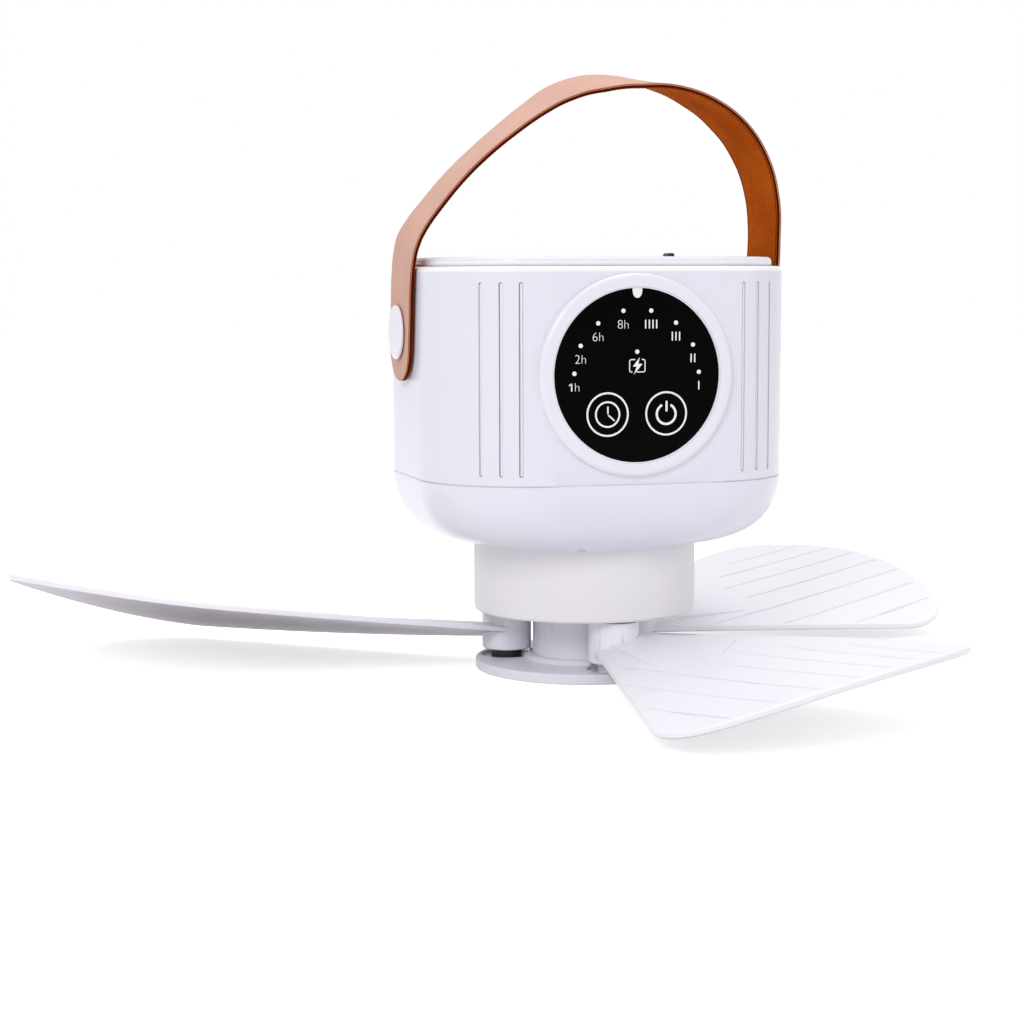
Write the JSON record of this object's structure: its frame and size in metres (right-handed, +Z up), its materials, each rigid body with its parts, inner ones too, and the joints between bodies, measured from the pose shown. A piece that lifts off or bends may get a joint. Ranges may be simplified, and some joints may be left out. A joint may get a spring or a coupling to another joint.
{
  "type": "portable camping fan",
  "caption": "Rechargeable hanging fan: a rounded battery housing with a round touch panel, a strap handle and a fold-out hook above a rotor of folding blades.",
  "frame": {"origin": "centre of the underside of the hub disc, the flat face that the fan stands on", "axes": "+Z up along the motor shaft; -Y is the front, where the round control panel faces; +X is to the right of someone who faces the panel"},
  "size_m": [0.362, 0.2913, 0.2128],
  "materials": {
    "shell_white": "fine satin, white",
    "collar_white": "satin, slightly warmer white",
    "hub_white": "satin white",
    "cap_white": "gloss white",
    "blade_white": "satin white",
    "spacer_white": "satin white",
    "washer_white": "slippery white plastic",
    "panel_black": "gloss black",
    "lens_dark": "dark red-black window",
    "led_clear": "clear",
    "board_green": "solder mask",
    "spring_steel": "bright",
    "tray_grey": "plain",
    "cell_can": "shrink-wrapped can; aluminium's density is that of a lithium cell",
    "socket_steel": "bright",
    "nut_brass": "plain",
    "screw_steel": "zinc plated",
    "bracket_steel": "plain",
    "bearing_bronze": "sintered bronze",
    "stator_steel": "laminated, lacquered",
    "can_steel": "plain",
    "magnet_dark": "ferrite",
    "shaft_steel": "ground",
    "pin_steel": "bright",
    "leather_tan": "smooth, pale tan",
    "suede_brown": "suede, orange brown",
    "hook_black": "satin black"
  },
  "bodies": {
    "housing": {"housing_shell": "shell_white", "top_lid": "shell_white", "bowl_cover": "shell_white", "motor_collar": "collar_white", "control_panel": "panel_black", "receiver_lens": "lens_dark", "control_board": "board_green", "indicator_leds": "led_clear", "touch_springs": "spring_steel", "battery_tray": "tray_grey", "battery_cells": "cell_can", "main_board": "board_green", "charging_board": "board_green", "charging_socket": "socket_steel", "cap_left": "cap_white", "cap_right": "cap_white", "strap_nuts": "nut_brass", "bracket_screws": "screw_steel", "hook_pin": "screw_steel", "motor_bracket": "bracket_steel", "motor_bearings": "bearing_bronze", "motor_stator": "stator_steel"},
    "rotor": {"motor_can": "can_steel", "motor_magnets": "magnet_dark", "motor_shaft": "shaft_steel", "can_screws": "screw_steel", "hub_plate": "hub_white", "hub_column": "hub_white", "hub_disc": "hub_white", "hub_screws": "screw_steel", "blade_pins": "pin_steel", "blade_spacers": "spacer_white", "blade_washers": "washer_white"},
    "blade_1": {"blade_1": "blade_white"},
    "blade_2": {"blade_2": "blade_white"},
    "blade_3": {"blade_3": "blade_white"},
    "handle": {"strap_outer": "leather_tan", "strap_lining": "suede_brown"},
    "hook": {"hanging_hook": "hook_black"}
  },
  "joints": [
    {"name": "rotor_spin", "type": "hinge", "parent": "housing", "child": "rotor", "pos_m": [0, 0, 0.03], "axis": [0, 0, 1], "continuous": true},
    {"name": "blade_1_fold", "type": "hinge", "parent": "rotor", "child": "blade_1", "pos_m": [-0.02567, 0.01283, 0.0135], "axis": [0, 0, 1], "range_deg": [-93.9, 8.1]},
    {"name": "blade_2_fold", "type": "hinge", "parent": "rotor", "child": "blade_2", "pos_m": [0.00172, -0.02865, 0.0135], "axis": [0, 0, 1], "range_deg": [-94.2, 7.8]},
    {"name": "blade_3_fold", "type": "hinge", "parent": "rotor", "child": "blade_3", "pos_m": [0.02395, 0.01582, 0.0135], "axis": [0, 0, 1], "range_deg": [-77.3, 24.7]},
    {"name": "strap_swing", "type": "hinge", "parent": "housing", "child": "handle", "pos_m": [0, 0, 0.122], "axis": [1, 0, 0], "range_deg": [-38, 22]},
    {"name": "hook_fold", "type": "hinge", "parent": "housing", "child": "hook", "pos_m": [0, 0, 0.1453], "axis": [0, -1, 0], "range_deg": [0, 90]}
  ]
}
